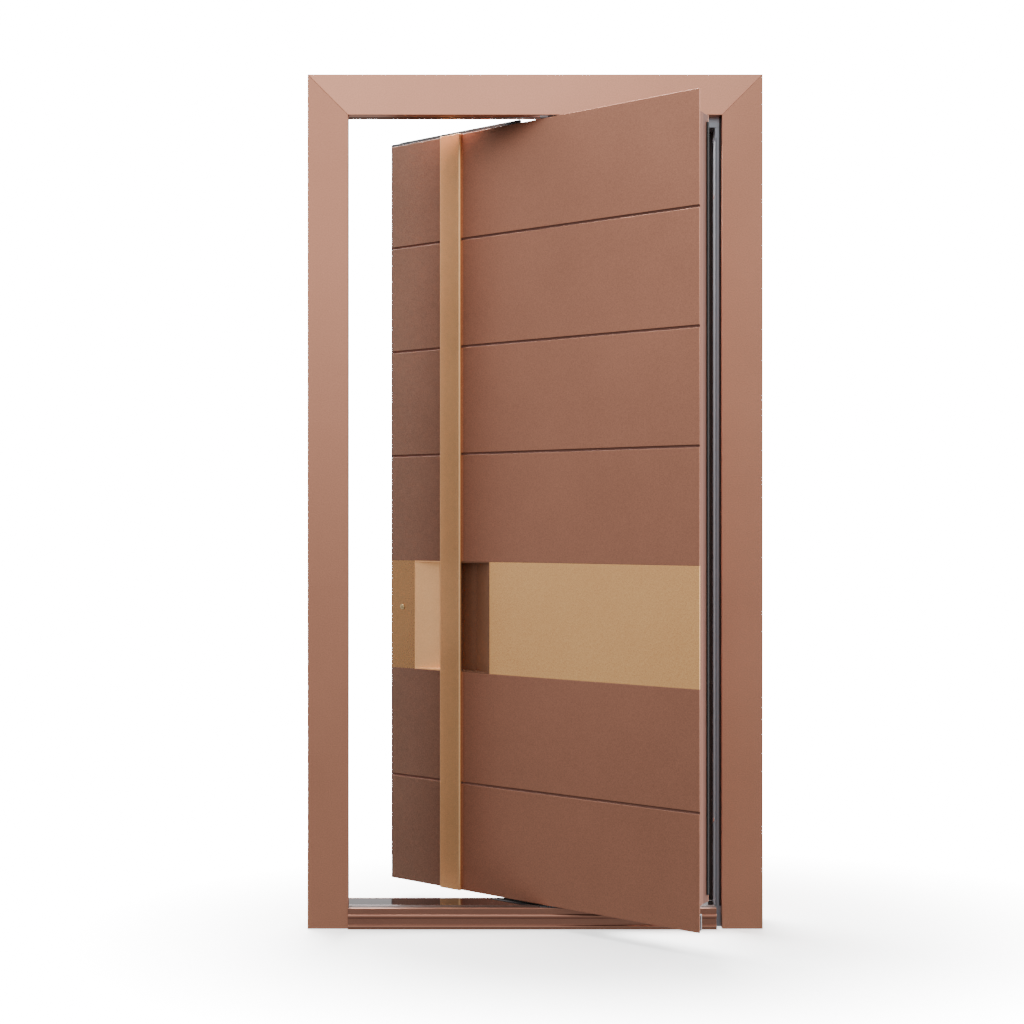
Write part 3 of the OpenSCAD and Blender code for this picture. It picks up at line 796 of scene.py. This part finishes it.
@dataclass
class Studio:
    """Floor, sky, lights and camera."""

    lens: float = 49.75
    eye: Triple = (-0.066, -4.04, 1.159)
    raise_view: float = 0.0106
    floor_front: float = -1.0
    floor_back: float = 9.0
    floor_half: float = 7.0
    # The floor glows, less in an oval pool round the door: a painted glow with a painted contact
    # shadow near the door.
    floor_glow: tuple[float, float] = (1.2, 18.0)
    shadow_pool_shift: Triple = (-0.2, -0.1, 0.0)
    shadow_pool_scale: Triple = (1.0, 1.6, 0.0)
    shadow_pool_reach: tuple[float, float] = (0.6, 2.4)
    backdrop_glow: float = 20.0
    zenith_glow: float = 1.3
    level_glow: float = 0.72
    ground_glow: float = 0.40
    rise_bands: Triple = (0.25, 0.50, 0.80)
    side_span: tuple[float, float] = (0.2, 0.7)
    side_bands: tuple[tuple[float, float], ...] = (
        (0.35, 0.24), (0.52, 0.07), (0.64, 0.64), (1.0, 0.90),
    )
    sky_gain: float = 4.0
    lamps: tuple[Lamp, ...] = (
        Lamp("key", (-1.5, 3.0, 6.0), (0.0, 0.0, 0.0), 6.0, 3500.0),
        Lamp("fill", (-1.0, -4.5, 3.6), (0.0, 0.0, 1.6), 3.5, 40.0),
    )

    def build(self) -> None:
        """Set up everything that isn't the door."""
        self.camera()
        self.floor()
        self.sky()
        for lamp in self.lamps:
            lamp.hang()

    def camera(self) -> None:
        """Place the camera square to the frame, a little left of its middle."""
        data = bpy.data.cameras.new("camera")
        data.lens = self.lens
        data.sensor_width = 36.0
        data.shift_y = self.raise_view
        camera = bpy.data.objects.new("camera", data)
        camera.location = self.eye
        camera.rotation_euler = (radians(90), 0, 0)
        bpy.context.scene.collection.objects.link(camera)
        bpy.context.scene.camera = camera

    def floor(self) -> None:
        """Lay the pale floor around and behind the door."""
        mesh = bmesh.new()
        bmesh.ops.create_grid(mesh, x_segments=1, y_segments=1, size=1.0)
        depth = (self.floor_back - self.floor_front) / 2
        bmesh.ops.scale(mesh, vec=(self.floor_half, depth, 1), verts=mesh.verts)
        middle = (self.floor_back + self.floor_front) / 2
        bmesh.ops.translate(mesh, vec=(0, middle, -0.5 * MM), verts=mesh.verts)
        data = bpy.data.meshes.new("floor")
        mesh.to_mesh(data)
        mesh.free()
        data.materials.append(self.floor_paint())
        floor = bpy.data.objects.new("floor", data)
        floor.visible_glossy = False
        floor.visible_diffuse = False
        bpy.context.scene.collection.objects.link(floor)

    def floor_paint(self) -> bpy.types.Material:
        """Return the floor's white paint, which glows more the further it lies from the door: a
        painted glow, dimmer round the door as a painted contact shadow.
        """
        paint = bpy.data.materials.new("floor_paint")
        paint.use_nodes = True
        nodes, links = paint.node_tree.nodes, paint.node_tree.links
        shader = nodes["Principled BSDF"]
        shader.inputs["Base Color"].default_value = (0.93, 0.93, 0.93, 1)
        shader.inputs["Roughness"].default_value = 0.75
        shader.inputs["Emission Color"].default_value = (1, 1, 1, 1)
        place = nodes.new("ShaderNodeTexCoord")
        oval = nodes.new("ShaderNodeMapping")
        oval.inputs["Location"].default_value = self.shadow_pool_shift
        oval.inputs["Scale"].default_value = self.shadow_pool_scale
        links.new(place.outputs["Object"], oval.inputs["Vector"])
        reach = nodes.new("ShaderNodeVectorMath")
        reach.operation = "LENGTH"
        links.new(oval.outputs["Vector"], reach.inputs[0])
        glow = self.slope(nodes, links, reach.outputs["Value"], self.shadow_pool_reach, self.floor_glow)
        links.new(glow.outputs["Result"], shader.inputs["Emission Strength"])
        return paint

    def sky(self) -> None:
        """Light the door from all round, and show a plain white backdrop behind it."""
        world = bpy.data.worlds.new("studio")
        bpy.context.scene.world = world
        world.use_nodes = True
        nodes, links = world.node_tree.nodes, world.node_tree.links
        glow = nodes["Background"]
        glow.inputs["Strength"].default_value = self.sky_gain
        place = nodes.new("ShaderNodeTexCoord")
        axes = nodes.new("ShaderNodeSeparateXYZ")
        links.new(place.outputs["Generated"], axes.inputs["Vector"])

        rise = self.slope(nodes, links, axes.outputs["Z"], (-1.0, 1.0), (0.0, 1.0))
        levels = (self.ground_glow, self.level_glow, self.zenith_glow)
        height = self.bands(nodes, links, rise, tuple(zip(self.rise_bands, levels)))

        turn = self.slope(nodes, links, axes.outputs["Y"], (-1.0, 0.0), (0.0, 1.0))
        turn.interpolation_type = "LINEAR"
        side = self.bands(nodes, links, turn, self.side_bands)
        right = self.slope(nodes, links, axes.outputs["X"], self.side_span, (0.0, 1.0))
        sided = self.mix(nodes)
        links.new(right.outputs["Result"], sided.inputs["Factor"])
        sided.inputs["A"].default_value = self.grey(1 / self.sky_gain)
        links.new(side.outputs["Color"], sided.inputs["B"])

        dimmed = self.mix(nodes)
        dimmed.blend_type = "MULTIPLY"
        dimmed.inputs["Factor"].default_value = 1.0
        links.new(height.outputs["Color"], dimmed.inputs["A"])
        links.new(sided.outputs["Result"], dimmed.inputs["B"])

        backdrop = self.mix(nodes)
        backdrop.clamp_result = False
        seen = nodes.new("ShaderNodeLightPath")
        links.new(seen.outputs["Is Camera Ray"], backdrop.inputs["Factor"])
        links.new(dimmed.outputs["Result"], backdrop.inputs["A"])
        backdrop.inputs["B"].default_value = self.grey(self.backdrop_glow / self.sky_gain)
        links.new(backdrop.outputs["Result"], glow.inputs["Color"])

    @staticmethod
    def mix(nodes: bpy.types.Nodes) -> bpy.types.Node:
        """Return a new node that mixes two colours."""
        node = nodes.new("ShaderNodeMix")
        node.data_type = "RGBA"
        return node

    def bands(
        self,
        nodes: bpy.types.Nodes,
        links: bpy.types.NodeLinks,
        source: bpy.types.Node,
        rows: Sequence[tuple[float, float]],
    ) -> bpy.types.Node:
        """Return a ramp over a node's result.

        Args:
            nodes: the tree's nodes.
            links: the tree's links.
            source: the node whose result picks the place on the ramp.
            rows: the ramp's places and grey levels, in order.

        Returns:
            The ramp node.
        """
        ramp = nodes.new("ShaderNodeValToRGB")
        links.new(source.outputs["Result"], ramp.inputs["Fac"])
        marks = ramp.color_ramp.elements
        for mark, (position, level) in zip(marks, (rows[0], rows[-1])):
            mark.position, mark.color = position, self.grey(level)
        for position, level in rows[1:-1]:
            marks.new(position).color = self.grey(level)
        return ramp

    @staticmethod
    def grey(value: float) -> tuple[float, float, float, float]:
        """Return a neutral colour of one brightness."""
        return value, value, value, 1.0

    @staticmethod
    def slope(
        nodes: bpy.types.Nodes,
        links: bpy.types.NodeLinks,
        source: bpy.types.NodeSocket,
        span: tuple[float, float],
        values: tuple[float, float],
    ) -> bpy.types.Node:
        """Return a node that maps a value from a span onto two values."""
        node = nodes.new("ShaderNodeMapRange")
        node.interpolation_type = "SMOOTHSTEP"
        node.inputs["From Min"].default_value, node.inputs["From Max"].default_value = span
        node.inputs["To Min"].default_value, node.inputs["To Max"].default_value = values
        links.new(source, node.inputs["Value"])
        return node


def main() -> None:
    """Dress the door, set the studio and log how many pieces were made."""
    logging.basicConfig(level=logging.INFO, format="%(name)s: %(message)s")
    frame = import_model()
    shop = Workshop(frame)
    for group in (Surround(shop), Threshold(shop), Leaf(shop)):
        group.build()
    Studio().build()
    LOG.info("%d pieces made", shop.made)


if __name__ == "__main__":
    main()
